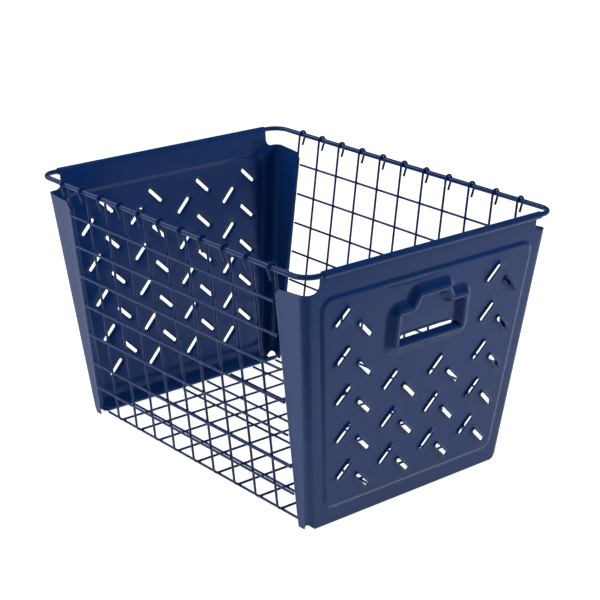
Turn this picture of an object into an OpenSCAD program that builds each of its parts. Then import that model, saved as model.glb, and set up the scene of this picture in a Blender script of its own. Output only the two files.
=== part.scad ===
// Wire locker basket: a U shaped mesh of welded wires, hooked over a heavy rim wire,
// with two pressed end plates. +Z is up, the pull faces -Y, and z = 0 is the underside.

/* [Rim] */
// Length of the rim wire between the centres of its short sides
rim_len = 403; // [330:1:480]
// Width of the rim wire between the centres of its long sides
rim_wid = 302; // [260:1:380]
// Height of the centre of the rim wire above the underside
rim_z = 252.6; // [244:0.2:320]
// Diameter of the rim wire
rim_d = 5; // [4:0.1:7]
// Radius of the rim's corners on the wire's centre line
rim_corner_r = 16; // [10:1:19]

/* [Mesh] */
// Diameter of the mesh wires
wire_d = 2.4; // [2:0.1:3]
// Distance from the middle of a plate's foot to the nearest cross wire
end_margin = 13.75; // [13.5:0.25:15]
// How far each mesh wall comes in from the rim to the bottom
wall_slant = 33; // [24:0.5:45]
// Clearance between the lowest wires and the underside
floor_gap = 0.1; // [0.05:0.05:3]
// Bend radius of a cross wire between the bottom and a wall
mesh_bend_r = 6; // [4:0.5:10]
// Vertical spacing of the long wires on the walls, counted down from the rim
side_pitch = 32; // [24:0.5:33]
// Height of the lowest wall wire above the cross wires' bottom run
low_wire_up = 29.5; // [18:0.5:36]
// Least spacing left between the two lowest wall wires; a shorter wall has fewer wires
low_wire_gap = 14; // [8:0.5:26]
// Spacing of the long wires under the bottom
bottom_pitch = 31.75; // [20:0.05:32]
// Least distance from a bottom wire to the bend of the cross wires; a narrower bottom has fewer
bottom_edge = 1.2; // [0.5:0.1:1.5]
// Free gap left at each welded crossing
weld_gap = 0.1; // [0.05:0.05:0.3]

/* [Hooks] */
// Gap between the rim wire and what wraps round it
wrap_gap = 0.2; // [0.1:0.05:0.5]
// Length of the straight tail of a hook
tail_len = 11; // [4:0.5:18]
// Angle of the tail to the vertical, leaning back to the wall
tail_lean = 20; // [0:1:30]

/* [End plates] */
// Sheet thickness of the end plates
sheet = 0.9; // [0.7:0.1:1.4]
// How far the foot of each plate is inside the rim
plate_slant = 29; // [14:0.5:34]
// Outer radius of the upright folds between a plate and its side flanges
fold_r = 7; // [4:0.5:10]
// Half length of the curl over the rim wire
curl_half = 131; // [90:1:132]
// How far the notched corners and the side flanges' tops lie under the middle of the rim wire
notch_drop = 17.1; // [14.6:0.5:27.6]
// Radius inside the notch
notch_r = 7; // [2:0.5:7.5]
// Drop of the flange's top edge from the fold to the hem
flange_drop = 2.5; // [0:0.5:6]
// Radius of the relief at each bottom corner
relief_r = 5; // [3:0.5:6]
// Width of the flat strip on the underside, from the plate inwards
foot_w = 9; // [6:0.5:10]

/* [Raised panel] */
// Height of the panel above the plate
panel_h = 1.5; // [0.5:0.1:3]
// Width of the sloped step round the panel
panel_step = 4; // [2:0.5:6]
// Top edge of the step
panel_top = 230; // [222:0.5:232]
// Bottom edge of the step
panel_bottom = 17; // [12:0.5:30]
// Margin between the step and the folds
panel_margin = 14; // [10:0.5:25]
// Corner radius of the step
panel_r = 13; // [6:0.5:20]

/* [Slots] */
// Length of a slot
slot_len = 21; // [14:0.5:24]
// Width of a slot
slot_w = 4.2; // [3:0.1:6]
// Height of the lip round each slot
lip_h = 1.6; // [0.6:0.1:4]
// Thickness of that lip
lip_t = 0.8; // [0.5:0.1:1.2]
// Rows of slots
slot_rows = 5; // [2:1:5]
// Spacing of the rows
row_pitch = 38.2; // [34:0.1:40]
// Height of the highest slot of the columns that lean right
first_row = 207.5; // [200:0.1:212]
// Drop from a slot that leans right to its partner that leans left
row_shift = 17; // [12:0.5:22]
// Spacing of the column pairs
pair_pitch = 58; // [50:0.5:60]
// Spacing inside a pair
pair_gap = 25; // [22:0.5:29]
// Rows that the pull takes from the two middle pairs
pull_rows = 2; // [2:1:4]

/* [Pull] */
// Half width of the pull's front at its lower body
pull_half = 43.6; // [40:0.2:48]
// Half width of the neck where it leaves the body
neck_half = 25.4; // [20:0.2:32]
// Half width of the neck at its top
neck_top_half = 18; // [14:0.2:19]
// Bottom of the pull's front
pull_z0 = 158.6; // [157:0.2:161]
// Top of the pull's lower body
pull_z1 = 197.4; // [194:0.2:200]
// Top of the neck
pull_z2 = 209; // [206:0.2:211]
// Height of the pull's front over the panel
pull_rise = 6.5; // [5:0.1:8]
// How much wider than its front the pull is where it leaves the panel
pull_flare = 0.15; // [0:0.01:0.18]
// Width of the pull's ridge
pull_lip = 3.6; // [3:0.2:5]
// How much narrower than its mouth the pocket is at its floor
pull_draw = 0.07; // [0:0.01:0.12]
// Thickness of the pull's skin
pull_t = 1; // [0.8:0.1:1.4]
// Corner radius of the pull's front
pull_r = 5; // [2:0.2:6]
// Half length of the slot in the pocket's floor
card_half = 32.4; // [20:0.1:32.6]
// Height of that slot
card_h = 3.6; // [3:0.1:4.4]
// Lower edge of that slot
card_z = 168.2; // [168:0.1:172]

/* [Hidden] */

paint = [0.05, 0.12, 0.30];
$fn = 32;
eps = 0.05;
cross_count = 11;

// Cross section of a mesh wall: the wall line starts at the bottom corner and is tangent
// to the wrap of the hook round the rim wire.
layer = wire_d + weld_gap;
mesh_rise = layer + wire_d / 2 + floor_gap;
bottom_w = rim_wid - 2 * wall_slant;
bottom_len = rim_len - 2 * plate_slant;
cross_pitch = (bottom_len - 2 * end_margin) / (cross_count - 1);
rim_half = rim_wid / 2;
corner_x = bottom_w / 2;
hook_r = rim_d / 2 + wrap_gap + wire_d / 2;
wall_dx = rim_half - corner_x;
wall_dz = rim_z - mesh_rise;
wall_reach = norm([wall_dx, wall_dz]);
wall_lean = atan2(wall_dx, wall_dz) - asin(hook_r / wall_reach);
wall_len = sqrt(pow(wall_reach, 2) - pow(hook_r, 2));
bend_trim = mesh_bend_r * tan((90 - wall_lean) / 2);
side_count = 1 + floor((wall_dz - low_wire_up - low_wire_gap) / side_pitch);
bottom_count = 1 + floor(2 * (corner_x - bend_trim - bottom_edge) / bottom_pitch);
function wall_x(z) = corner_x + (z - mesh_rise) * tan(wall_lean);

// Long section of an end plate: its middle leans from the foot to the curl.
notch_z = rim_z - notch_drop;
curl_in = rim_d / 2 + wrap_gap;
curl_out = curl_in + sheet;
plate_y0 = bottom_len / 2;
plate_y1 = rim_len / 2 - curl_in - sheet / 2;
plate_lean = atan2(plate_y1 - plate_y0, rim_z);
function plate_y(z) = plate_y0 + z * tan(plate_lean);

hem_y = (cross_count - 1) / 2 * cross_pitch;
hem_in = wire_d / 2 + wrap_gap;
hem_out = hem_in + sheet;
hem_sink = 0.2;
hem_low = mesh_rise + mesh_bend_r + 4;
wire_end = hem_y - hem_out - wrap_gap;

bend_extra = 0.04;
swell = 0.06;
lap = 0.3;
tall = rim_len + rim_z;
wide = rim_wid;
high = rim_z + 30;
taper = tan(wall_lean);
fan_z = 163;
fan = 0.00117;

// A plain round bar from point p to point q in the plane y = 0
module bar(p, q, d) {
    along = q - p;
    translate([p[0], 0, p[1]])
        rotate([0, atan2(along[0], along[1]), 0])
        cylinder(h = norm(along), d = d);
}

// A round bar bent about c in the plane y = 0, from angle a over a sweep
module bent_bar(c, r, a, sweep, d) {
    translate([c[0], 0, c[1]])
        rotate([90, 0, 0])
        rotate([0, 0, a])
        rotate_extrude(angle = sweep)
        translate([r, 0])
        circle(d = d);
}

// One half of a cross wire: bottom run, bend, wall, wrap over the rim and tail. The bends are
// a hair thicker than the straights, which run a little way into them.
module half_cross_wire() {
    wall_dir = [sin(wall_lean), cos(wall_lean)];
    corner = [corner_x, mesh_rise];
    rim_c = [rim_half, rim_z];
    tail_dir = [-sin(tail_lean), -cos(tail_lean)];
    tail_p = rim_c + hook_r * [cos(tail_lean), -sin(tail_lean)];
    bend_d = wire_d + bend_extra;
    bent_bar([corner_x - bend_trim, mesh_rise + mesh_bend_r], mesh_bend_r, -90, 90 - wall_lean, bend_d);
    bar(corner + (bend_trim - lap) * wall_dir, corner + (wall_len + lap) * wall_dir, wire_d);
    bent_bar(rim_c, hook_r, -tail_lean, 180 - wall_lean + tail_lean, bend_d);
    bar(tail_p - lap * tail_dir, tail_p + tail_len * tail_dir, wire_d);
}

module cross_wire(i) {
    color(paint)
        translate([0, (i - (cross_count + 1) / 2) * cross_pitch, 0]) {
            run = corner_x - bend_trim + lap;
            bar([-run, mesh_rise], [run, mesh_rise], wire_d);
            half_cross_wire();
            mirror([1, 0, 0]) half_cross_wire();
        }
}

// A straight long wire through the point (x, z)
module long_wire(x, z) {
    color(paint)
        translate([x, wire_end, z])
        rotate([90, 0, 0])
        cylinder(h = 2 * wire_end, d = wire_d);
}

function side_z(k) = k < side_count ? rim_z - k * side_pitch : mesh_rise + low_wire_up;

module side_wire(side, k) {
    long_wire(side * (wall_x(side_z(k)) + layer * cos(wall_lean)), side_z(k) - layer * sin(wall_lean));
}

module bottom_wire(k) {
    long_wire((k - (bottom_count + 1) / 2) * bottom_pitch, mesh_rise - layer);
}

module rim_corner() {
    translate([rim_half - rim_corner_r, rim_len / 2 - rim_corner_r, rim_z])
        rotate_extrude(angle = 90)
        translate([rim_corner_r, 0])
        circle(d = rim_d);
}

module rim_wire() {
    run_y = rim_len - 2 * rim_corner_r;
    run_x = rim_wid - 2 * rim_corner_r;
    color(paint) {
        for (s = [-1, 1]) {
            translate([s * rim_half, run_y / 2, rim_z]) rotate([90, 0, 0]) cylinder(h = run_y, d = rim_d);
            translate([-run_x / 2, s * rim_len / 2, rim_z]) rotate([0, 90, 0]) cylinder(h = run_x, d = rim_d);
        }
        for (a = [0, 1], b = [0, 1])
            mirror([a, 0, 0]) mirror([0, b, 0]) rim_corner();
    }
}

// Places its children on the front plate: x across, y up along the plate, z outwards
module on_plate() {
    translate([0, -plate_y0, 0]) rotate([90 + plate_lean, 0, 0]) children();
}

function arc_points(c, r, a, b, n = 6) = [for (i = [0 : n]) c + r * [cos(a + (b - a) * i / n), sin(a + (b - a) * i / n)]];

// A thin slice of the pan that the two plates are cut from
module pan_slice(z, grow, r) {
    x = wall_x(z) + grow / cos(wall_lean) - r;
    y = plate_y(z) + (grow - hem_out + hem_sink + sheet / 2) / cos(plate_lean) - r;
    for (sx = [-1, 1], sy = [-1, 1])
        translate([sx * x, sy * y, z]) cylinder(h = eps, r = r);
}

// The pan as a solid, out to the flanges' outer or inner face, with its rounded bottom edge
module pan(grow, r, z) {
    hull() {
        pan_slice(z, grow - 1.3, r);
        pan_slice(z + 0.4, grow - 0.4, r);
        pan_slice(z + 1.3, grow, r);
        pan_slice(high, grow, r);
    }
}

// Outline of the raised panel, seen along the plate's normal
module panel_slice(inset, w) {
    half = wall_x(0) - panel_margin - inset;
    y0 = panel_bottom + inset;
    y1 = panel_top - inset;
    r = panel_r - inset / 2;
    for (s = [-1, 1]) {
        translate([s * (half + taper * y0 - r), y0 + r, w]) cylinder(h = eps, r = r);
        translate([s * (half + taper * y1 - r), y1 - r, w]) cylinder(h = eps, r = r);
    }
}

// The raised panel as a solid; down lowers it by the sheet to give its hollow back
module panel(down, root) {
    on_plate()
        hull() {
            panel_slice(-root * panel_step / panel_h, sheet / 2 - down - root);
            panel_slice(panel_step, sheet / 2 + panel_h - down);
        }
}

function slot_ring(l, w) = concat(
    arc_points([(l - w) / 2, 0], w / 2, -90, 90),
    arc_points([(w - l) / 2, 0], w / 2, 90, 270));

// Calls its children at every slot; rows near the pull are left out where cut is true
module at_slots(cut) {
    for (pair = [0 : 3], lean = [0, 1], row = [0 : slot_rows - 1])
        if (!(cut && (pair == 1 || pair == 2) && row < pull_rows)) {
            z = first_row - lean * row_shift - row * row_pitch;
            x = ((pair - 1.5) * pair_pitch + (lean - 0.5) * pair_gap) * (1 + fan * (z - fan_z));
            on_plate()
                translate([x, z / cos(plate_lean), 0])
                rotate([0, 0, lean == 0 ? 45 : -45])
                children();
        }
}

module slot_lips(cut) {
    at_slots(cut)
        translate([0, 0, panel_h])
        linear_extrude(sheet / 2 + lip_h)
        polygon(slot_ring(slot_len + 2 * lip_t, slot_w + 2 * lip_t));
}

module slot_holes(cut) {
    at_slots(cut)
        translate([0, 0, -wide / 100])
        linear_extrude(2 * wide / 100 + panel_h + lip_h)
        polygon(slot_ring(slot_len, slot_w));
}

// What is cut off the pan above the notched corners and the flanges' sloping top edges
module corner_notches() {
    for (s = [0, 1])
        mirror([s, 0, 0])
        translate([0, -hem_y + 10, 0])
        rotate([90, 0, 0])
        linear_extrude(tall)
        polygon(concat(
            [[curl_half, high + 5]],
            arc_points([curl_half + notch_r, notch_z + notch_r], notch_r, 180, 270),
            [[wide, notch_z], [wide, high + 5]]));
    translate([-wide, 0, 0])
        rotate([90, 0, 90])
        linear_extrude(2 * wide)
        polygon([[-plate_y(notch_z) + fold_r, notch_z + eps], [-plate_y(notch_z) + fold_r, high + 5],
            [0, high + 5], [0, notch_z - flange_drop], [-hem_y, notch_z - flange_drop]]);
    translate([-wide, -tall, rim_z + curl_in * sin(plate_lean)]) cube([2 * wide, tall, 60]);
}

// Curl over the rim wire, open on its lower outer side where the sheet's edge ends
module rim_curl() {
    translate([-curl_half, -rim_len / 2, rim_z])
        rotate([90, 0, 90])
        linear_extrude(2 * curl_half)
        difference() {
            circle(r = curl_out + swell);
            circle(r = curl_in - swell);
            polygon([[0, 0], 9 * [cos(255), sin(255)], 9 * [cos(235), sin(235)], 9 * [cos(215), sin(215)]]);
        }
}

// Hem of a side flange, curled round the end cross wire
module side_hem() {
    top = (notch_z - flange_drop - hem_low) / cos(wall_lean);
    translate([wall_x(hem_low), -hem_y, hem_low])
        rotate([0, wall_lean, 0])
        linear_extrude(top)
        difference() {
            circle(r = hem_out);
            circle(r = hem_in);
        }
}

// Hem of the bottom flange, with the joggle that lifts it off the foot
module bottom_hem() {
    half = corner_x - bend_trim - 1;
    foot_y = plate_y0 - foot_w;
    start = [-foot_y - 0.6, sheet / 2];
    grip = [-hem_y - sin(35) * (hem_in + sheet / 2), mesh_rise - cos(35) * (hem_in + sheet / 2)];
    along = (grip - start) / norm(grip - start);
    side = [-along[1], along[0]] * sheet / 2;
    translate([-half, 0, 0])
        rotate([90, 0, 90])
        linear_extrude(2 * half)
        polygon([start - side, grip - side, grip + side, start + side]);
    translate([-half, -hem_y, mesh_rise])
        rotate([90, 0, 90])
        linear_extrude(2 * half)
        difference() {
            circle(r = hem_out);
            circle(r = hem_in);
        }
}

// Flat strip of the bottom flange that the basket stands on, and what is cut away inside it
module inside_cut() {
    foot_y = plate_y0 - foot_w;
    half = corner_x - bend_trim - 1;
    translate([-wide, -hem_y, -1]) cube([2 * wide, tall, tall]);
    translate([-wide, -foot_y, -1]) cube([2 * wide, tall, sheet + 1 + eps]);
    for (s = [-1, 1])
        translate([s * (half + wide / 2), -tall / 2, 0]) cube([wide, tall, 2 * sheet], center = true);
}

// Stepped outline of the pull's front, about its own middle, drawn in or out by inset
function pull_outline(inset) =
    let (b = pull_half - inset, n = neck_half - inset, t = neck_top_half - inset, r = max(pull_r - inset, 0.8),
        mid = (pull_z0 + pull_z1) / 2, z0 = pull_z0 + inset - mid, z1 = pull_z1 - inset - mid,
        z2 = pull_z2 - inset - mid)
    concat(
        arc_points([b - r, z0 + r], r, -90, 0, 4),
        arc_points([b - r, z1 - r], r, 0, 90, 4),
        [[n, z1]],
        arc_points([t - r, z2 - r], r, 20, 90, 4),
        arc_points([r - t, z2 - r], r, 90, 160, 4),
        [[-n, z1]],
        arc_points([r - b, z1 - r], r, 90, 180, 4),
        arc_points([r - b, z0 + r], r, 180, 270, 4));

// The pull's outline run from a height over the panel down to another; grow widens it on the way
module pull_block(inset, top, low, grow) {
    on_plate()
        translate([0, (pull_z0 + pull_z1) / 2 / cos(plate_lean), sheet / 2 + panel_h + top])
        mirror([0, 0, 1])
        linear_extrude(top - low, scale = 1 + grow * (top - low) / pull_rise)
        polygon(pull_outline(inset));
}

// Plate, panel and lips, pressed from one sheet
module pressing(with_pull) {
    difference() {
        union() {
            pan(hem_out - hem_sink, fold_r, 0);
            panel(0, sheet / 2);
            slot_lips(with_pull);
            if (with_pull) pull_block(0, pull_rise, -sheet / 2, pull_flare);
        }
        pan(hem_in - hem_sink, fold_r - sheet, sheet);
        panel(sheet, 0.6);
        inside_cut();
        corner_notches();
        slot_holes(with_pull);
        if (with_pull) pull_block(pull_t, pull_rise - pull_t, -3 * sheet, pull_flare);
        for (s = [-1, 1])
            translate([s * (wall_x(0) + hem_out - 2), -plate_y0 + 1.5, 1]) sphere(r = relief_r);
    }
}

// Pocket inside the pull's ridge, with a slot through its floor
module pocket() {
    difference() {
        pull_block(pull_lip - pull_t, pull_rise - pull_t / 2, -sheet, -pull_draw);
        pull_block(pull_lip, pull_rise, 0, -pull_draw);
        card_slot();
    }
}

module card_slot() {
    on_plate()
        translate([0, (card_z + card_h / 2) / cos(plate_lean), -5])
        linear_extrude(20)
        polygon(slot_ring(2 * card_half, card_h));
}

module end_plate(with_pull) {
    color(paint) {
        difference() {
            pressing(with_pull);
            if (with_pull) pull_block(pull_lip, pull_rise + 1, pull_rise - 2 * pull_t, 0);
        }
        if (with_pull) pocket();
        rim_curl();
        side_hem();
        mirror([1, 0, 0]) side_hem();
        bottom_hem();
    }
}

module front_plate() {
    end_plate(true);
}

module rear_plate() {
    rotate([0, 0, 180]) end_plate(false);
}

rim_wire();
front_plate();
rear_plate();
for (i = [1 : cross_count]) cross_wire(i);
for (k = [1 : side_count]) side_wire(-1, k);
for (k = [1 : side_count]) side_wire(1, k);
for (k = [1 : bottom_count]) bottom_wire(k);
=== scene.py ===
# Wire locker basket: enamelled wire mesh on a heavy rim wire, with two pressed end plates
import math

import bmesh
import bpy
import numpy as np
from mathutils import Matrix, Vector
from mathutils.geometry import delaunay_2d_cdt


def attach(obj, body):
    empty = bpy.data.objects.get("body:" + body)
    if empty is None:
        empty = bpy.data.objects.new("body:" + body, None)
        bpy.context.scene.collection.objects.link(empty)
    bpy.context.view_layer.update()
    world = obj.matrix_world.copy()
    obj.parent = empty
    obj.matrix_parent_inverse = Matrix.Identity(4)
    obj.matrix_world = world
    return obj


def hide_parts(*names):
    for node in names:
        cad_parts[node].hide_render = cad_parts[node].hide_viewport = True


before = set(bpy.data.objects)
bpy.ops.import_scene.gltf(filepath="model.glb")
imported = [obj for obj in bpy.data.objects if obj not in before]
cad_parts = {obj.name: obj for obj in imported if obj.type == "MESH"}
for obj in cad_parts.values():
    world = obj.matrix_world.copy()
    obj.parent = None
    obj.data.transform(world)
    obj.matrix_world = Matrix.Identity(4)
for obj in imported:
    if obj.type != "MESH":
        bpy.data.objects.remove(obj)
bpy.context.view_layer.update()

mm = 0.001
scene = bpy.context.scene
scene.view_settings.view_transform = "Standard"

# Sizes shared by every piece, in millimetres, as the frame has them
basket = {
    "rimLength": 403, "rimWidth": 302, "rimHeight": 252.6, "rimDiameter": 5, "rimCorner": 16,
    "wireDiameter": 2.4, "pitch": 31.75, "crossCount": 11, "bottomWidth": 236, "meshRise": 3.8,
    "wrapGap": 0.2, "sheet": 0.9, "plateFoot": 172.5,
}
rimHalf = basket["rimWidth"] / 2
rimEnd = basket["rimLength"] / 2
rimR = basket["rimDiameter"] / 2
rimZ = basket["rimHeight"]
cornerX = basket["bottomWidth"] / 2
meshZ = basket["meshRise"]
wireR = basket["wireDiameter"] / 2
sheet = basket["sheet"]
hookR = rimR + basket["wrapGap"] + wireR
wallReach = math.hypot(rimHalf - cornerX, rimZ - meshZ)
wallLean = math.atan2(rimHalf - cornerX, rimZ - meshZ) - math.asin(hookR / wallReach)
wallOut = (math.cos(wallLean), -math.sin(wallLean))
hemY = (basket["crossCount"] - 1) / 2 * basket["pitch"]
curlMid = rimR + basket["wrapGap"] + sheet / 2
plateTan = (rimEnd - curlMid - basket["plateFoot"]) / rimZ
plateLean = math.atan(plateTan)


def wallX(z):
    # the mesh wall's wires, half the basket's width at a height
    return cornerX + (z - meshZ) * math.tan(wallLean)


def plateY(z):
    # the end plate's sheet, half the basket's length at a height
    return basket["plateFoot"] + z * plateTan


# How sprayed and baked enamel varies over a surface: a slow drift, orange peel and small dust nibs
film = {
    "specular": 0.25, "bumpStrength": 0.25,
    "driftScale": 14, "driftDetail": 3, "driftLow": 0.3, "driftHigh": 0.7, "roughDrift": 0.035,
    "peelDetail": 2, "nibScale": 900, "nibLow": 0.76, "nibHigh": 0.8, "nibHeight": 0.5,
    "nibColour": (0.05, 0.07, 0.13),
}
finish = {
    "plate": {
        "colour": (0.008, 0.054, 0.235), "gloss": 0.17, "mottle": 0.05, "peelSize": 300, "peelDepth": 0.05,
    },
    "rim": {
        "colour": (0.007, 0.047, 0.21), "gloss": 0.17, "mottle": 0.06, "peelSize": 500, "peelDepth": 0.04,
    },
    "wire": {
        "colour": (0.0065, 0.043, 0.195), "gloss": 0.2, "mottle": 0.08, "peelSize": 700, "peelDepth": 0.04,
    },
}


def addMath(tree, operation, *values):
    # a math node fed by numbers or by other nodes' outputs
    node = tree.nodes.new("ShaderNodeMath")
    node.operation = operation
    for socket, value in zip(node.inputs, values):
        if isinstance(value, (int, float)):
            socket.default_value = value
        else:
            tree.links.new(value, socket)
    return node.outputs[0]


def addRange(tree, source, low, high, toLow, toHigh):
    node = tree.nodes.new("ShaderNodeMapRange")
    for name, value in (("From Min", low), ("From Max", high), ("To Min", toLow), ("To Max", toHigh)):
        node.inputs[name].default_value = value
    tree.links.new(source, node.inputs["Value"])
    return node.outputs["Result"]


def makeEnamelGroup():
    group = bpy.data.node_groups.new("enamelSurface", "ShaderNodeTree")
    for name, kind, value in (
        ("enamel", "NodeSocketColor", (0.01, 0.025, 0.09, 1)),
        ("mottle", "NodeSocketFloat", 0.06),
        ("gloss", "NodeSocketFloat", 0.3),
        ("peelSize", "NodeSocketFloat", 420.0),
    ):
        socket = group.interface.new_socket(name=name, in_out="INPUT", socket_type=kind)
        socket.default_value = value
    for name, kind in (("colour", "Color"), ("roughness", "Float"), ("height", "Float")):
        group.interface.new_socket(name=name, in_out="OUTPUT", socket_type="NodeSocket" + kind)
    nodes, links = group.nodes, group.links
    given = nodes.new("NodeGroupInput")
    result = nodes.new("NodeGroupOutput")
    where = nodes.new("ShaderNodeTexCoord")

    def noise(detail):
        node = nodes.new("ShaderNodeTexNoise")
        node.inputs["Detail"].default_value = detail
        links.new(where.outputs["Object"], node.inputs["Vector"])
        return node

    thickness = noise(film["driftDetail"])
    thickness.inputs["Scale"].default_value = film["driftScale"]
    nibs = noise(0)
    nibs.inputs["Scale"].default_value = film["nibScale"]
    peel = noise(film["peelDetail"])
    links.new(given.outputs["peelSize"], peel.inputs["Scale"])
    nibMask = addRange(group, nibs.outputs["Fac"], film["nibLow"], film["nibHigh"], 0, 1)

    # colour: the enamel a little darker or lighter with the film, and paler nibs
    drift = addRange(group, thickness.outputs["Fac"], film["driftLow"], film["driftHigh"], -1, 1)
    shade = addMath(group, "MULTIPLY_ADD", drift, given.outputs["mottle"], 1)
    tint = nodes.new("ShaderNodeVectorMath")
    tint.operation = "SCALE"
    links.new(given.outputs["enamel"], tint.inputs[0])
    links.new(shade, tint.inputs["Scale"])
    dusted = nodes.new("ShaderNodeMix")
    dusted.data_type = "RGBA"
    dusted.inputs["B"].default_value = (*film["nibColour"], 1)
    links.new(nibMask, dusted.inputs["Factor"])
    links.new(tint.outputs["Vector"], dusted.inputs["A"])
    links.new(dusted.outputs["Result"], result.inputs["colour"])

    rougher = addRange(group, thickness.outputs["Fac"], film["driftLow"], film["driftHigh"],
                       -film["roughDrift"], film["roughDrift"])
    links.new(addMath(group, "ADD", given.outputs["gloss"], rougher), result.inputs["roughness"])
    height = addMath(group, "MULTIPLY_ADD", nibMask, film["nibHeight"], peel.outputs["Fac"])
    links.new(height, result.inputs["height"])
    return group


def makeEnamel(name, colour, gloss, mottle, peelSize, peelDepth):
    material = bpy.data.materials.new(name)
    material.use_nodes = True
    material.diffuse_color = (*colour, 1)
    nodes, links = material.node_tree.nodes, material.node_tree.links
    shader = nodes["Principled BSDF"]
    shader.inputs["Specular IOR Level"].default_value = film["specular"]
    surface = nodes.new("ShaderNodeGroup")
    surface.node_tree = enamelGroup
    surface.inputs["enamel"].default_value = (*colour, 1)
    surface.inputs["mottle"].default_value = mottle
    surface.inputs["gloss"].default_value = gloss
    surface.inputs["peelSize"].default_value = peelSize
    bump = nodes.new("ShaderNodeBump")
    bump.inputs["Strength"].default_value = film["bumpStrength"]
    bump.inputs["Distance"].default_value = peelDepth * mm
    links.new(surface.outputs["colour"], shader.inputs["Base Color"])
    links.new(surface.outputs["roughness"], shader.inputs["Roughness"])
    links.new(surface.outputs["height"], bump.inputs["Height"])
    links.new(bump.outputs["Normal"], shader.inputs["Normal"])
    return material


enamelGroup = makeEnamelGroup()
enamels = {key: makeEnamel(key + "Enamel", **finish[key]) for key in finish}
print("materials made")


def meshObject(name, points, faces, edges=()):
    # a new object at the origin, from points in millimetres
    mesh = bpy.data.meshes.new(name)
    mesh.from_pydata([(x * mm, y * mm, z * mm) for x, y, z in points], list(edges), faces)
    mesh.update()
    obj = bpy.data.objects.new(name, mesh)
    scene.collection.objects.link(obj)
    return obj


def freeze(obj):
    # turns the evaluated result into a plain mesh, with the modifiers gone
    bpy.context.view_layer.update()
    ready = obj.evaluated_get(bpy.context.evaluated_depsgraph_get())
    mesh = bpy.data.meshes.new_from_object(ready)
    obj.modifiers.clear()
    old = obj.data
    obj.data = mesh
    mesh.name = obj.name
    bpy.data.meshes.remove(old)


def smooth(obj, angle=48):
    obj.data.polygons.foreach_set("use_smooth", [True] * len(obj.data.polygons))
    obj.data.set_sharp_from_angle(angle=math.radians(angle))


def settle(obj, enamel, replaced=()):
    # the finish, the body that carries the piece, and the frame's nodes that it stands for
    obj.data.materials.clear()
    obj.data.materials.append(enamels[enamel])
    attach(obj, "root")
    if replaced:
        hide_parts(*replaced)


def numbered(stem, count):
    return ["%s_%d" % (stem, k) for k in range(1, count + 1)]


def arc(centre, radius, start, end, steps):
    turn = np.radians(np.linspace(start, end, steps + 1))
    return [(centre[0] + radius * math.cos(a), centre[1] + radius * math.sin(a)) for a in turn]


def makeTree(name, sockets):
    tree = bpy.data.node_groups.new(name, "GeometryNodeTree")
    tree.interface.new_socket(name="Geometry", in_out="INPUT", socket_type="NodeSocketGeometry")
    for label, kind in sockets.items():
        tree.interface.new_socket(name=label, in_out="INPUT", socket_type="NodeSocket" + kind)
    tree.interface.new_socket(name="Geometry", in_out="OUTPUT", socket_type="NodeSocketGeometry")
    return tree, tree.nodes.new("NodeGroupInput"), tree.nodes.new("NodeGroupOutput")


def roundTube(tree, given, curve):
    # sweeps a round section of the tree's wireRadius along a curve
    section = tree.nodes.new("GeometryNodeCurvePrimitiveCircle")
    sweep = tree.nodes.new("GeometryNodeCurveToMesh")
    sweep.inputs["Fill Caps"].default_value = True
    tree.links.new(given.outputs["wireRadius"], section.inputs["Radius"])
    tree.links.new(given.outputs["sides"], section.inputs["Resolution"])
    tree.links.new(curve, sweep.inputs["Curve"])
    tree.links.new(section.outputs["Curve"], sweep.inputs["Profile Curve"])
    return sweep.outputs["Mesh"]


def finishTree(tree, given, result, geometry):
    real = tree.nodes.new("GeometryNodeRealizeInstances")
    paint = tree.nodes.new("GeometryNodeSetMaterial")
    tree.links.new(geometry, real.inputs["Geometry"])
    tree.links.new(real.outputs["Geometry"], paint.inputs["Geometry"])
    tree.links.new(given.outputs["enamel"], paint.inputs["Material"])
    tree.links.new(paint.outputs["Geometry"], result.inputs["Geometry"])


def runTree(obj, tree, values):
    # sets the tree's named inputs by their identifiers, and keeps what it makes
    modifier = obj.modifiers.new(tree.name, "NODES")
    modifier.node_group = tree
    for item in tree.interface.items_tree:
        if item.in_out == "INPUT" and item.name in values:
            modifier[item.identifier] = values[item.name]
    freeze(obj)


def crossWireTree():
    # one bent wire, repeated along the basket
    tree, given, result = makeTree("crossWireRow", {
        "wireRadius": "Float", "sides": "Int", "pitch": "Float", "count": "Int", "firstY": "Float",
        "enamel": "Material"})
    nodes, links = tree.nodes, tree.links
    path = nodes.new("GeometryNodeMeshToCurve")
    row = nodes.new("GeometryNodeMeshLine")
    placed = nodes.new("GeometryNodeInstanceOnPoints")
    start = nodes.new("ShaderNodeCombineXYZ")
    step = nodes.new("ShaderNodeCombineXYZ")
    links.new(given.outputs["Geometry"], path.inputs["Mesh"])
    links.new(given.outputs["firstY"], start.inputs["Y"])
    links.new(given.outputs["pitch"], step.inputs["Y"])
    links.new(given.outputs["count"], row.inputs["Count"])
    links.new(start.outputs["Vector"], row.inputs["Start Location"])
    links.new(step.outputs["Vector"], row.inputs["Offset"])
    links.new(row.outputs["Mesh"], placed.inputs["Points"])
    links.new(roundTube(tree, given, path.outputs["Curve"]), placed.inputs["Instance"])
    finishTree(tree, given, result, placed.outputs["Instances"])
    return tree


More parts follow.
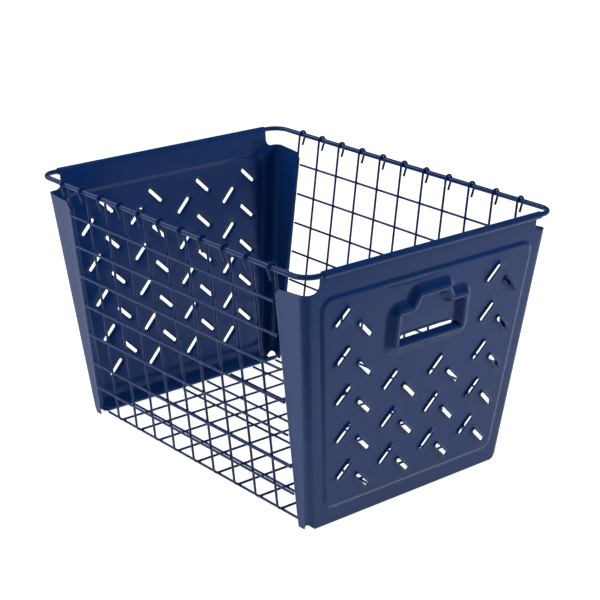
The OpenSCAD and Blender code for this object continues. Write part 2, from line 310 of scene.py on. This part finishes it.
def longWireTree():
    # a straight wire on every point of the mesh
    tree, given, result = makeTree("longWires", {
        "wireRadius": "Float", "sides": "Int", "halfLength": "Float", "enamel": "Material"})
    nodes, links = tree.nodes, tree.links
    line = nodes.new("GeometryNodeCurvePrimitiveLine")
    near = nodes.new("ShaderNodeCombineXYZ")
    far = nodes.new("ShaderNodeCombineXYZ")
    placed = nodes.new("GeometryNodeInstanceOnPoints")
    links.new(addMath(tree, "MULTIPLY", given.outputs["halfLength"], -1), near.inputs["Y"])
    links.new(given.outputs["halfLength"], far.inputs["Y"])
    links.new(near.outputs["Vector"], line.inputs["Start"])
    links.new(far.outputs["Vector"], line.inputs["End"])
    links.new(given.outputs["Geometry"], placed.inputs["Points"])
    links.new(roundTube(tree, given, line.outputs["Curve"]), placed.inputs["Instance"])
    finishTree(tree, given, result, placed.outputs["Instances"])
    return tree


def weldTree():
    # a small squashed bead of weld on every crossing, turned by the point's own lean
    tree, given, result = makeTree("weldBeads", {
        "beadRadius": "Float", "squash": "Vector", "enamel": "Material"})
    nodes, links = tree.nodes, tree.links
    ball = nodes.new("GeometryNodeMeshIcoSphere")
    ball.inputs["Subdivisions"].default_value = 2
    lean = nodes.new("GeometryNodeInputNamedAttribute")
    lean.data_type = "FLOAT_VECTOR"
    lean.inputs["Name"].default_value = "lean"
    placed = nodes.new("GeometryNodeInstanceOnPoints")
    links.new(given.outputs["beadRadius"], ball.inputs["Radius"])
    links.new(given.outputs["Geometry"], placed.inputs["Points"])
    links.new(ball.outputs["Mesh"], placed.inputs["Instance"])
    links.new(lean.outputs["Attribute"], placed.inputs["Rotation"])
    links.new(given.outputs["squash"], placed.inputs["Scale"])
    finishTree(tree, given, result, placed.outputs["Instances"])
    return tree


# Cross wires: a U of wire that comes up inside the rim, hooks over it and ends in a tail outside
crossWire = {
    "bendRadius": 6, "tailLength": 11, "tailLean": 20, "sides": 14,
    "bendSteps": 10, "hookSteps": 20, "wallSteps": 8,
}


def crossWirePath():
    lean = math.degrees(wallLean)
    bendR = crossWire["bendRadius"]
    trim = bendR * math.tan((math.pi / 2 - wallLean) / 2)
    bend = arc((cornerX - trim, meshZ + bendR), bendR, -90, -lean, crossWire["bendSteps"])
    hook = arc((rimHalf, rimZ), hookR, 180 - lean, -crossWire["tailLean"], crossWire["hookSteps"])
    tail = math.radians(crossWire["tailLean"])
    tailEnd = (hook[-1][0] - crossWire["tailLength"] * math.sin(tail),
               hook[-1][1] - crossWire["tailLength"] * math.cos(tail))
    low, high = bend[-1], hook[0]
    wall = [(low[0] + (high[0] - low[0]) * t, low[1] + (high[1] - low[1]) * t)
            for t in np.linspace(0, 1, crossWire["wallSteps"] + 1)[1:-1]]
    half = bend + wall + hook + [tailEnd]
    return [(-x, z) for x, z in reversed(half)] + half


def makeCrossWires():
    path = crossWirePath()
    links = [(i, i + 1) for i in range(len(path) - 1)]
    obj = meshObject("crossWires", [(x, 0, z) for x, z in path], [], links)
    runTree(obj, crossWireTree(), {
        "wireRadius": wireR * mm, "sides": crossWire["sides"], "pitch": basket["pitch"] * mm,
        "count": basket["crossCount"], "firstY": -hemY * mm, "enamel": enamels["wire"]})
    smooth(obj)
    settle(obj, "wire", numbered("cross_wire", basket["crossCount"]))


# Long wires: straight ones welded outside the walls and under the bottom, ending short of the hems
longWire = {
    "sidePitch": 32, "lowestAbove": 29.5, "bottomPitch": 31.75, "gap": 0.1, "sides": 14,
    "sideCount": 7, "bottomCount": 8,
}
layer = basket["wireDiameter"] + longWire["gap"]
wireEnd = hemY - (wireR + basket["wrapGap"] + sheet) - basket["wrapGap"]
sideHeights = [rimZ - k * longWire["sidePitch"] for k in range(1, longWire["sideCount"])]
sideHeights.append(meshZ + longWire["lowestAbove"])
bottomX = [(k - (longWire["bottomCount"] - 1) / 2) * longWire["bottomPitch"]
           for k in range(longWire["bottomCount"])]


def makeLongWires():
    tree = longWireTree()
    walls = {
        label: [(side * (wallX(z) + layer * wallOut[0]), z + layer * wallOut[1]) for z in sideHeights]
        for label, side in (("left", -1), ("right", 1))
    }
    for label, places in {**walls, "bottom": [(x, meshZ - layer) for x in bottomX]}.items():
        obj = meshObject(label + "Wires", [(x, 0, z) for x, z in places], [])
        runTree(obj, tree, {"wireRadius": wireR * mm, "sides": longWire["sides"],
                            "halfLength": wireEnd * mm, "enamel": enamels["wire"]})
        smooth(obj)
        settle(obj, "wire", numbered(label + "_wire", len(places)))


# Weld beads: between the two layers of wire, at every crossing but those inside the hems
weld = {"radius": 1.05, "squash": (1.0, 1.0, 0.95), "smoothAngle": 80}


def makeWelds():
    crossings, leans = [], []
    inner = (basket["crossCount"] - 3) // 2
    for i in range(-inner, inner + 1):
        y = i * basket["pitch"]
        for side in (-1, 1):
            for z in sideHeights:
                crossings.append((side * (wallX(z) + layer / 2 * wallOut[0]), y, z + layer / 2 * wallOut[1]))
                leans.append((0, side * (math.pi / 2 + wallLean), 0))
        for x in bottomX:
            crossings.append((x, y, meshZ - layer / 2))
            leans.append((0, 0, 0))
    obj = meshObject("weldBeads", crossings, [])
    attribute = obj.data.attributes.new("lean", "FLOAT_VECTOR", "POINT")
    attribute.data.foreach_set("vector", np.array(leans, dtype=np.float32).ravel())
    runTree(obj, weldTree(), {
        "beadRadius": weld["radius"] * mm, "squash": weld["squash"], "enamel": enamels["wire"]})
    smooth(obj, weld["smoothAngle"])
    settle(obj, "wire")
    return len(crossings)


makeCrossWires()
makeLongWires()
crossingCount = makeWelds()
print("mesh wires made", crossingCount, "crossings")

# Rim wire: one heavy rod bent to a rounded rectangle
rod = {"sides": 24, "cornerSteps": 14, "runSteps": 11}


def rimLoop():
    # centre line, each point with the direction that faces outwards there
    r = basket["rimCorner"]
    halfX, halfY = rimHalf - r, rimEnd - r
    loop = []
    for x, y, start, aheadX, aheadY in (
        (halfX, halfY, 0, -1, 0), (-halfX, halfY, 90, 0, -1),
        (-halfX, -halfY, 180, 1, 0), (halfX, -halfY, 270, 0, 1),
    ):
        for a in np.radians(np.linspace(start, start + 90, rod["cornerSteps"] + 1)):
            outX, outY = math.cos(a), math.sin(a)
            loop.append((x + r * outX, y + r * outY, outX, outY))
        # the straight run to the next corner is cut up so that the finish stays even
        endX, endY, outX, outY = loop[-1]
        run = 2 * (abs(aheadX) * halfX + abs(aheadY) * halfY)
        for t in np.linspace(0, 1, rod["runSteps"] + 1)[1:-1]:
            loop.append((endX + aheadX * run * t, endY + aheadY * run * t, outX, outY))
    return loop


def makeRim():
    loop, sides = rimLoop(), rod["sides"]
    points, faces = [], []
    for i, (x, y, outX, outY) in enumerate(loop):
        a, b = i * sides, (i + 1) % len(loop) * sides
        for k in range(sides):
            turn = 2 * math.pi * k / sides
            out = rimR * math.cos(turn)
            points.append((x + outX * out, y + outY * out, rimZ + rimR * math.sin(turn)))
            faces.append((a + k, b + k, b + (k + 1) % sides, a + (k + 1) % sides))
    obj = meshObject("rimRod", points, faces)
    smooth(obj)
    settle(obj, "rim", ["rim_wire"])


makeRim()
print("rim made")

# End plates: one pressed sheet each. Outlines are drawn flat, as x and height, and then lean with the
# plate. A list called rings holds the distances from an outline at which rows of mesh points stand.
plate = {
    "levels": 64, "columns": 66, "smallestSpan": 0.02, "middleZ": 100,
    "seedGrid": 9.0, "seedHalf": 135, "seedLow": 8, "seedHigh": 242, "seedEdge": 1.2,
}
curl = {"half": 131, "start": 247.8, "bendBelow": 2.3, "end": -105, "steps": 26}
notch = {"z": 235.5, "radius": 7, "steps": 8}
foot = {
    "half": 111.7, "width": 9, "bend": 1.6, "bendStart": -12, "bendSteps": 7,
    "bendTop": 0.92, "bendCentre": 1.11,  # shares of the bend's radius
    "joggle": ((1.2, 0), (0.3, 0.12), (-0.6, 0.5)),
    "hemStart": -62, "hemEnd": -350, "hemSteps": 24,
}
flange = {
    "foldRadius": 7, "foldSteps": 10, "offset": 1.65, "drop": 2.5, "low": 0.2,
    "stations": (0.06, 0.16, 0.3, 0.45, 0.6, 0.74, 0.86, 0.93, 0.97, 1.0),  # shares of its width
    "tuckFrom": 0.8, "tipFrom": 0.84, "tipDrop": 4.5,
    "hemStart": 14, "hemEnd": 300, "hemSteps": 21, "hemDrop": 5.5, "hemLow": 7.5,
}
# relief hole at each lower corner, its centre a little off the corner's fold line
relief = {"radius": 5, "x": 0.3, "y": 1.5, "z": 1, "level": 2}
panel = {
    "height": 1.5, "step": 4, "top": 230, "bottom": 17, "margin": 14, "corner": 13, "cornerSteps": 8,
    "seedGap": 3.2, "rings": (-0.8, 0, 0.9, 1.8, 2.7, 3.6, 4.5, 5.4),
}
slots = {
    "length": 21, "width": 4.2, "lip": 2.3, "spread": 2.8, "lipEase": 2.6, "pairs": 4, "rows": 5,
    "rowPitch": 38.2, "firstRow": 207.5, "rowShift": 17, "pairPitch": 58, "pairGap": 25,
    "lean": 45, "fan": 0.00117, "fanZ": 163, "pullPairs": (1, 2), "pullRows": 2,
    "clear": 0.15, "rings": (0.2, 0.5, 0.9, 1.4, 2.0, 2.7),
}
# the pull's walls run out over different widths, by the way that they face
pull = {
    "half": 43, "neckLow": 24.6, "neckTop": 19, "bottom": 162.6, "shoulder": 198.6, "top": 211,
    "corner": 5, "cornerSteps": 8, "tip": 3, "tipSteps": 6, "fillet": (1.5, 0.6),
    "rise": 6.3, "ridge": 3.4, "crown": 0.35, "outerEase": 1.5, "innerEase": 1.4, "lowerSlant": 0.7,
    "outerRun": {"side": 10.3, "top": 9, "bottom": 7.4},
    "innerRun": {"side": 8.6, "top": 4.4, "bottom": 2.3},
    "seedGap": 1.3, "seedSlack": 0.08,
    "rings": (10.6, 9.8, 9, 8.2, 7.4, 6.6, 5.9, 5.2, 4.6, 4, 3.5, 3, 2.5, 2.1, 1.7, 1.3, 1, 0.7, 0.4, 0.2,
              0, -0.4, -1, -1.7, -2.4, -3, -3.4, -3.7, -4, -4.3, -4.6, -4.9, -5.3, -5.7, -6.2, -6.8, -7.5,
              -8.3, -9.1, -10, -11, -12),
}
# slot for a card in the pull's floor, and the dip of the sheet above it
card = {
    "half": 32.4, "height": 3.0, "z": 168.6, "clear": 0.35,
    "dent": 0.8, "dentRun": 5.5, "dentFrom": 1.8, "dentLip": 1.9, "dentSide": 6,
}
# a faint crease that the drawn sheet has above the pull
crease = {
    "left": -63, "right": 14, "height": 223.2, "bow": 0.0009, "depth": 0.32, "spread": 1.3, "fade": 16,
    "seedStep": 2.6, "seedHalf": 3.6, "seedGap": 0.8, "seedRise": 0.6,
}
foldR = flange["foldRadius"] - sheet / 2
hemR = wireR + basket["wrapGap"] + sheet / 2
bendZ = sheet / 2 + foot["bend"] * foot["bendTop"]
cardPlace = (0, card["z"] + card["height"] / 2, 0)


def flangeX(z):
    # middle of the side flange's sheet, outside the wall's wires
    return wallX(z) + flange["offset"] / math.cos(wallLean)


def capsule(place, length, width, grow=0, roundSteps=8, sideSteps=5):
    # outline of a slot with round ends, grown by a distance
    x0, z0, angle = place
    half, r = (length - width) / 2, width / 2 + grow
    along = [-half + 2 * half * k / sideSteps for k in range(1, sideSteps)]
    ring = arc((half, 0), r, -90, 90, roundSteps) + [(-t, r) for t in along]
    ring += arc((-half, 0), r, 90, 270, roundSteps) + [(t, -r) for t in along]
    c, s = math.cos(angle), math.sin(angle)
    return [(x0 + c * x - s * z, z0 + s * x + c * z) for x, z in ring]


def capsuleDistance(p, places, length, width):
    # distance to the nearest slot, negative inside
    best = np.full(len(p), 1e9)
    half = (length - width) / 2
    for x, z, angle in places:
        d = p - np.array([x, z])
        along = np.clip(d[:, 0] * math.cos(angle) + d[:, 1] * math.sin(angle), -half, half)
        gap = np.hypot(d[:, 0] - along * math.cos(angle), d[:, 1] - along * math.sin(angle)) - width / 2
        best = np.minimum(best, gap)
    return best


def polygonDistance(p, ring):
    # distance to a closed outline, negative inside
    ring = np.array(ring)
    best = np.full(len(p), 1e18)
    inside = np.zeros(len(p), bool)
    for a, b in zip(ring, np.roll(ring, -1, axis=0)):
        edge, rel = b - a, p - a
        t = np.clip((rel @ edge) / max(edge @ edge, 1e-12), 0, 1)
        gap = rel - t[:, None] * edge
        best = np.minimum(best, (gap ** 2).sum(1))
        crosses = (a[1] > p[:, 1]) != (b[1] > p[:, 1])
        if abs(b[1] - a[1]) > 1e-12:
            cut = a[0] + (p[:, 1] - a[1]) / (b[1] - a[1]) * (b[0] - a[0])
            inside ^= crosses & (p[:, 0] < cut)
    return np.where(inside, -1, 1) * np.sqrt(best)


def sampled(ring, gap):
    # points along a closed outline at about an even spacing
    out = []
    for a, b in zip(ring, ring[1:] + ring[:1]):
        steps = max(1, round(math.hypot(b[0] - a[0], b[1] - a[1]) / gap))
        out += [(a[0] + (b[0] - a[0]) * k / steps, a[1] + (b[1] - a[1]) * k / steps) for k in range(steps)]
    return out


def spaced(low, high, step):
    # evenly spaced values from low up to high
    return np.arange(low, high + step / 2, step)


def easing(t):
    # 0 to 1 with soft ends
    t = np.clip(t, 0, 1)
    return t * t * (3 - 2 * t)


def slotPlaces(withPull):
    # herringbone of slots, its columns fanned out a little with height
    places = []
    for pair in range(slots["pairs"]):
        for lean in (0, 1):
            for row in range(slots["rows"]):
                if withPull and pair in slots["pullPairs"] and row < slots["pullRows"]:
                    continue
                z = slots["firstRow"] - lean * slots["rowShift"] - row * slots["rowPitch"]
                x = (pair - (slots["pairs"] - 1) / 2) * slots["pairPitch"] + (lean - 0.5) * slots["pairGap"]
                x *= 1 + slots["fan"] * (z - slots["fanZ"])
                places.append((x, z, math.radians(slots["lean"] * (1 - 2 * lean))))
    return places


def panelCore():
    # the raised panel's outline drawn in by its corner radius, from the lower left corner
    r = panel["corner"]
    half = wallX(0) - panel["margin"] - r
    t = math.tan(wallLean)
    low, high = panel["bottom"] + r, panel["top"] - r
    return [(-half - t * low, low), (half + t * low, low), (half + t * high, high), (-half - t * high, high)]


def pullOutline():
    # a wide lower part with a narrower neck on its shoulders, anticlockwise from the lower right corner
    half, shoulder, r, tip = pull["half"], pull["shoulder"], pull["corner"], pull["tip"]
    aside, above = pull["fillet"]
    right = arc((half - r, pull["bottom"] + r), r, -90, 0, pull["cornerSteps"])
    right += arc((half - r, shoulder - r), r, 0, 90, pull["cornerSteps"])
    right += [(pull["neckLow"] + aside, shoulder), (pull["neckLow"], shoulder + above)]
    right += arc((pull["neckTop"] - tip, pull["top"] - tip), tip, 30, 90, pull["tipSteps"])
    return right + [(-x, z) for x, z in reversed(right)]


def pullRise(p):
    # a ridge just inside the pull's outline, with a wall on each side of it
    outline, step = pullOutline(), 0.05
    d = polygonDistance(p, outline)
    slopeX, slopeZ = [
        (polygonDistance(p + aside, outline) - polygonDistance(p - aside, outline)) / (2 * step)
        for aside in np.eye(2) * step
    ]
    # the slope is 1 long but for the kinks of the distance, where it falls towards 0
    total = np.maximum(slopeX ** 2 + slopeZ ** 2, 0.2)
    outerRun, innerRun = [
        (slopeX ** 2 * run["side"] + slopeZ ** 2 * np.where(slopeZ > 0, run["top"], run["bottom"])) / total
        for run in (pull["outerRun"], pull["innerRun"])
    ]
    climb = np.clip(1 - d / outerRun, 0, 1)
    below = np.where(slopeZ < 0, slopeZ ** 2, 0)
    slant = pull["lowerSlant"]
    outer = easing(climb ** pull["outerEase"]) * (1 - below)
    outer = outer + (slant * climb + (1 - slant) * easing(climb)) * below
    inner = easing(np.clip(1 + (d + pull["ridge"]) / innerRun, 0, 1) ** pull["innerEase"])
    half = pull["ridge"] / 2
    crown = pull["crown"] * np.clip(np.abs(d + half) / half, 0, 1) ** 2
    top, edge = pull["rise"], pull["rise"] - pull["crown"]
    rise = np.where(d > 0, outer * edge, np.where(d > -pull["ridge"], top - crown, inner * edge))
    # the sheet dips a little towards the upper edge of the card's slot
    above = p[:, 1] - cardPlace[1]
    beside = np.clip(1 - (np.abs(p[:, 0]) - card["half"] + card["dentSide"]) / card["dentSide"], 0, 1)
    dip = card["dent"] * easing(1 - (above - card["dentFrom"]) / card["dentRun"])
    return rise - dip * easing((above + card["dentLip"]) / card["dentLip"]) * easing(beside)


def creaseDip(p):
    # a shallow groove along a slight bow
    middle = (crease["left"] + crease["right"]) / 2
    drop = (p[:, 1] - crease["height"] - crease["bow"] * (p[:, 0] - middle) ** 2) / crease["spread"]
    ends = np.minimum(p[:, 0] - crease["left"], crease["right"] - p[:, 0]) / crease["fade"]
    return crease["depth"] * np.exp(-drop ** 2) * easing(ends)


def pressedHeight(p, places, withPull):
    # how far the sheet stands proud of the plate's plane at each point
    rise = panel["height"] * easing(-(polygonDistance(p, panelCore()) - panel["corner"]) / panel["step"])
    lip = capsuleDistance(p, places, slots["length"], slots["width"])
    rise = rise + slots["lip"] * np.clip(1 - lip / slots["spread"], 0, 1) ** slots["lipEase"]
    if withPull:
        rise = rise + pullRise(p) - creaseDip(p)
    return rise


def flatOutline(footX, topX):
    # the flat part's edge: along the foot, up the fold line, over the notch to the curl, and back
    side = [(flangeX(z) - foldR, z) for z in np.linspace(bendZ, notch["z"], plate["levels"] + 1)]
    r, z = notch["radius"], notch["z"]
    side += arc((curl["half"] + r, z + r), r, 270, 180, notch["steps"])
    side.append((curl["half"], (z + r + curl["start"]) / 2))
    other = [(-x, z) for x, z in reversed(side)]
    return [(x, bendZ) for x in footX] + side + [(x, curl["start"]) for x in topX] + other


def pullSeeds():
    # rows of points beside the pull's outline and along the crease
    outline = pullOutline()
    base = np.array(sampled(outline, pull["seedGap"]))
    tangent = np.roll(base, -1, axis=0) - np.roll(base, 1, axis=0)
    normal = np.stack([tangent[:, 1], -tangent[:, 0]], 1) / np.linalg.norm(tangent, axis=1)[:, None]
    seeds = []
    for reach in pull["rings"]:
        moved = base + normal * reach
        keep = np.abs(polygonDistance(moved, outline) - reach) < pull["seedSlack"]
        seeds += [tuple(q) for q in moved[keep]]
    for x in np.arange(crease["left"], crease["right"], crease["seedStep"]):
        for z in spaced(-crease["seedHalf"], crease["seedHalf"], crease["seedGap"]):
            seeds.append((x, crease["height"] + crease["seedRise"] + z))
    return seeds


def meshSeeds(places, edge, withPull):
    # points inside the sheet: close together where it bends, and an even grid elsewhere
    seeds = []
    for place in places:
        for grow in slots["rings"]:
            seeds += capsule(place, slots["length"], slots["width"], grow)
    core = panelCore()
    for inset in panel["rings"]:
        outline = []
        for centre, start in zip(core[1:] + core[:1], (-90, 0, 90, 180)):
            outline += arc(centre, panel["corner"] - inset, start, start + 90, panel["cornerSteps"])
        seeds += sampled(outline, panel["seedGap"])
    if withPull:
        seeds += pullSeeds()
    for x in spaced(-plate["seedHalf"], plate["seedHalf"], plate["seedGrid"]):
        for z in spaced(plate["seedLow"], plate["seedHigh"], plate["seedGrid"]):
            seeds.append((x, z))
    seeds = np.array(seeds)
    keep = polygonDistance(seeds, edge) < -plate["seedEdge"]
    keep &= capsuleDistance(seeds, places, slots["length"], slots["width"]) > slots["clear"]
    if withPull:
        keep &= capsuleDistance(seeds, [cardPlace], 2 * card["half"], card["height"]) > card["clear"]
    return [tuple(q) for q in seeds[keep]]


def flatSheet(places, edge, withPull):
    # the flat part in triangles, with its slots left open
    holes = [capsule(place, slots["length"], slots["width"]) for place in places]
    if withPull:
        holes.append(capsule(cardPlace, 2 * card["half"], card["height"]))
    points, edges = [], []
    for outline in [edge] + holes:
        first, count = len(points), len(outline)
        points += outline
        edges += [(first + k, first + (k + 1) % count) for k in range(count)]
    points += meshSeeds(places, edge, withPull)
    flat, _, faces, *_ = delaunay_2d_cdt([Vector(q) for q in points], edges, [], 0, 1e-4)
    flat = np.array([tuple(q) for q in flat])
    middles = np.array([flat[list(face)].mean(0) for face in faces])
    solid = polygonDistance(middles, edge) < 0
    for hole in holes:
        solid &= polygonDistance(middles, hole) > 0
    return flat, [tuple(face) for face, kept in zip(faces, solid) if kept]


def curlRows(topX):
    # over the rim wire, down outside it and a little way under
    section = [(plateY(z), z) for z in (curl["start"], rimZ - curl["bendBelow"])]
    section += arc((rimEnd, rimZ), curlMid, 180 - math.degrees(plateLean), curl["end"], curl["steps"])
    return [[(x, -y, z) for x in reversed(topX)] for y, z in section]


def footRows(footX):
    # bend, foot, joggle and hem round the end wire's bottom run
    bend, low = foot["bend"], sheet / 2
    centre = (plateY(low) - bend * foot["bendCentre"], low + bend)
    section = [(plateY(bendZ), bendZ)] + arc(centre, bend, foot["bendStart"], -90, foot["bendSteps"])
    footEnd = basket["plateFoot"] - foot["width"]
    section += [(footEnd + ahead, low + up) for ahead, up in foot["joggle"]]
    section += arc((hemY, meshZ), hemR, foot["hemStart"], foot["hemEnd"], foot["hemSteps"])
    return [[(x, -y, z) for x in footX] for y, z in reversed(section)]


def sidePoint(kind, value, z):
    # a point of the fold, the flange or its hem: value is an angle, or a share of the flange's width
    y = plateY(z)
    if kind == "fold":
        return (flangeX(z) - foldR + foldR * math.sin(value), -(y - foldR + foldR * math.cos(value)), z)
    if kind == "flange":
        tuck = min(1, max(0, (value - flange["tuckFrom"]) / (1 - flange["tuckFrom"])))
        shift = (0.5 - 0.5 * math.cos(math.pi * tuck)) * (hemR - flange["offset"])
        return (flangeX(z) + shift, -(y - foldR + (hemY - y + foldR) * value), z)
    reach, aside = hemR * math.cos(value), hemR * math.sin(value)
    return (wallX(z) + reach * wallOut[0], -(hemY - aside), z + reach * wallOut[1])


def sideEnds(kind, value):
    # lowest and highest level of a column, clear of the corner's relief hole
    if kind == "hem":
        return meshZ + flange["hemLow"], notch["z"] - flange["drop"] - flange["hemDrop"]
    low, top = flange["low"], notch["z"]
    if kind == "flange":
        tip = easing((value - flange["tipFrom"]) / (1 - flange["tipFrom"]))
        top -= flange["drop"] * value + flange["tipDrop"] * tip
    x, y, _ = sidePoint(kind, value, relief["level"])
    gap = math.hypot(x - (wallX(0) + relief["x"]), -y - (basket["plateFoot"] - relief["y"]))
    if gap < relief["radius"]:
        low = max(low, relief["z"] + math.sqrt(relief["radius"] ** 2 - gap ** 2))
    if kind == "fold" and value == 0:
        low = bendZ
    return low, top


def sideRows():
    columns = [("fold", a) for a in np.radians(np.linspace(0, 90, flange["foldSteps"] + 1))]
    columns += [("flange", t) for t in flange["stations"]]
    hemTurn = np.linspace(flange["hemStart"], flange["hemEnd"], flange["hemSteps"] + 1)
    columns += [("hem", a) for a in np.radians(hemTurn)]
    ends = [sideEnds(kind, value) for kind, value in columns]
    rows = []
    for level in range(plate["levels"] + 1):
        t = level / plate["levels"]
        rows.append([sidePoint(kind, value, low + (top - low) * t)
                     for (kind, value), (low, top) in zip(columns, ends)])
    return rows


def seamed(obj):
    # joins the strips, and turns every face to the basket's outside
    shape = bmesh.new()
    shape.from_mesh(obj.data)
    bmesh.ops.remove_doubles(shape, verts=shape.verts, dist=plate["smallestSpan"] * mm)
    bmesh.ops.recalc_face_normals(shape, faces=shape.faces)
    shape.faces.ensure_lookup_table()

    def offMiddle(face):
        centre = face.calc_center_median()
        return abs(centre.x) + abs(centre.z - plate["middleZ"] * mm)

    if min(shape.faces, key=offMiddle).normal.y > 0:
        bmesh.ops.reverse_faces(shape, faces=shape.faces)
    shape.to_mesh(obj.data)
    shape.free()


def addStrip(points, faces, rows):
    # quads between neighbouring rows of points
    width = len(rows[0])
    for row in rows:
        if row is not rows[0]:
            starts = range(len(points) - width, len(points) - 1)
            faces += [(a, a + 1, a + width + 1, a + width) for a in starts]
        points += row


def makePlate(name, withPull, replaced):
    footX = [foot["half"] * t for t in np.linspace(-1, 1, plate["columns"] + 1)]
    topX = [curl["half"] * t for t in np.linspace(1, -1, plate["columns"] + 1)]
    places = slotPlaces(withPull)
    flat, faces = flatSheet(places, flatOutline(footX, topX), withPull)
    body = np.stack([flat[:, 0], -plateY(flat[:, 1]), flat[:, 1]], 1)
    outwards = np.array([0, -math.cos(plateLean), -math.sin(plateLean)])
    body += pressedHeight(flat, places, withPull)[:, None] * outwards
    points = [tuple(v) for v in body]
    side = sideRows()
    otherSide = [[(-x, y, z) for x, y, z in reversed(row)] for row in side]
    for rows in (curlRows(topX), footRows(footX), side, otherSide):
        addStrip(points, faces, rows)
    obj = meshObject(name, points, faces)
    seamed(obj)
    thick = obj.modifiers.new("sheet", "SOLIDIFY")
    thick.thickness = sheet * mm
    thick.offset = 0
    thick.use_even_offset = False
    freeze(obj)
    if not withPull:
        obj.data.transform(Matrix.Rotation(math.pi, 4, "Z"))
    smooth(obj)
    settle(obj, "plate", replaced)
    print(name, len(obj.data.polygons), "faces")


makePlate("frontPlate", True, ["front_plate"])
makePlate("rearPlate", False, ["rear_plate"])
print("plates made")

# Studio, in metres: a pale floor that is white to the camera, a dim sky and four soft lamps. The enamel
# mirrors the white floor as far as sweepOuter from sweepCentre, as a real paper sweep ends somewhere.
studio = {
    "floorHalf": 40, "floorWhite": 0.86, "floorRough": 0.9, "floorGlow": 0.85,
    "sweepCentre": (0.55, 0.6, 0), "sweepInner": 1.08, "sweepOuter": 1.24,
    "skyLow": (0.14, 0.14, 0.15), "skyHigh": (0.05, 0.05, 0.055), "skyBand": 0.12,
    "lampAim": (0, 0, 0.12),
}
lamps = {
    "keyLeft": {"place": (-2.2, 0.4, 1.4), "side": 1.2, "power": 17, "mirrored": True},
    "backLeft": {"place": (-1.0, 2.2, 1.9), "side": 1.6, "power": 20, "mirrored": True},
    "fillRight": {"place": (2.2, -1.9, 1.4), "side": 1.2, "power": 35, "mirrored": False},
    "topSoft": {"place": (0.2, 0.5, 2.3), "side": 1.6, "power": 8, "mirrored": True},
}
viewpoint = {
    "place": (-0.9734, -1.1716, 0.7039), "look": (0.60487, 0.71744, -0.34553), "roll": 0.0041,
    "lens": 99.66, "sensor": 36, "near": 0.05, "far": 200,
}


def makeFloor():
    half = studio["floorHalf"] / mm
    floor = meshObject("floor", [(-half, -half, 0), (half, -half, 0), (half, half, 0), (-half, half, 0)],
                       [(0, 1, 2, 3)])
    material = bpy.data.materials.new("paleFloor")
    material.use_nodes = True
    tree = material.node_tree
    nodes, links = tree.nodes, tree.links
    shader = nodes["Principled BSDF"]
    shader.inputs["Base Color"].default_value = (studio["floorWhite"],) * 3 + (1,)
    shader.inputs["Roughness"].default_value = studio["floorRough"]
    shader.inputs["Emission Color"].default_value = (1, 1, 1, 1)
    rays = nodes.new("ShaderNodeLightPath")
    where = nodes.new("ShaderNodeTexCoord")
    reach = nodes.new("ShaderNodeVectorMath")
    reach.operation = "DISTANCE"
    reach.inputs[1].default_value = studio["sweepCentre"]
    links.new(where.outputs["Object"], reach.inputs[0])
    sweep = addRange(tree, reach.outputs["Value"], studio["sweepInner"], studio["sweepOuter"], 1, 0)
    mirrored = addMath(tree, "MULTIPLY", sweep, rays.outputs["Is Glossy Ray"])
    seen = addMath(tree, "MAXIMUM", rays.outputs["Is Camera Ray"], mirrored)
    links.new(addMath(tree, "MULTIPLY", seen, studio["floorGlow"]), shader.inputs["Emission Strength"])
    floor.data.materials.append(material)


def makeWorld():
    # dim where the enamel mirrors it, white where the camera sees it
    world = bpy.data.worlds.new("studio")
    world.use_nodes = True
    scene.world = world
    nodes, links = world.node_tree.nodes, world.node_tree.links
    background = nodes["Background"]
    background.inputs["Strength"].default_value = 1
    where = nodes.new("ShaderNodeTexCoord")
    split = nodes.new("ShaderNodeSeparateXYZ")
    sky = nodes.new("ShaderNodeValToRGB")
    low, high = sky.color_ramp.elements
    low.position, high.position = 0.0, studio["skyBand"]
    low.color, high.color = (*studio["skyLow"], 1), (*studio["skyHigh"], 1)
    rays = nodes.new("ShaderNodeLightPath")
    mix = nodes.new("ShaderNodeMix")
    mix.data_type = "RGBA"
    mix.inputs["B"].default_value = (1, 1, 1, 1)
    links.new(where.outputs["Generated"], split.inputs["Vector"])
    links.new(split.outputs["Z"], sky.inputs["Fac"])
    links.new(sky.outputs["Color"], mix.inputs["A"])
    links.new(rays.outputs["Is Camera Ray"], mix.inputs["Factor"])
    links.new(mix.outputs["Result"], background.inputs["Color"])


def softLamp(name, place, side, power, mirrored):
    light = bpy.data.lights.new(name, "AREA")
    light.shape = "SQUARE"
    light.size = side
    light.energy = power
    obj = bpy.data.objects.new(name, light)
    scene.collection.objects.link(obj)
    obj.location = place
    obj.visible_glossy = mirrored
    obj.rotation_mode = "QUATERNION"
    aim = Vector(studio["lampAim"]) - Vector(place)
    obj.rotation_quaternion = aim.to_track_quat("-Z", "Y")


def makeCamera():
    # the photograph's viewpoint, lens and small roll
    camera = bpy.data.cameras.new("camera")
    camera.lens, camera.sensor_width = viewpoint["lens"], viewpoint["sensor"]
    camera.clip_start, camera.clip_end = viewpoint["near"], viewpoint["far"]
    obj = bpy.data.objects.new("camera", camera)
    scene.collection.objects.link(obj)
    look = Vector(viewpoint["look"]).normalized()
    right = Vector((look.y, -look.x, 0)).normalized()
    up = right.cross(look)
    c, s = math.cos(viewpoint["roll"]), math.sin(viewpoint["roll"])
    turned = Matrix((right * c + up * s, -right * s + up * c, -look)).transposed().to_4x4()
    turned.translation = Vector(viewpoint["place"])
    obj.matrix_world = turned
    scene.camera = obj


makeFloor()
makeWorld()
for lampName, values in lamps.items():
    softLamp(lampName, **values)
makeCamera()
print("stage made")
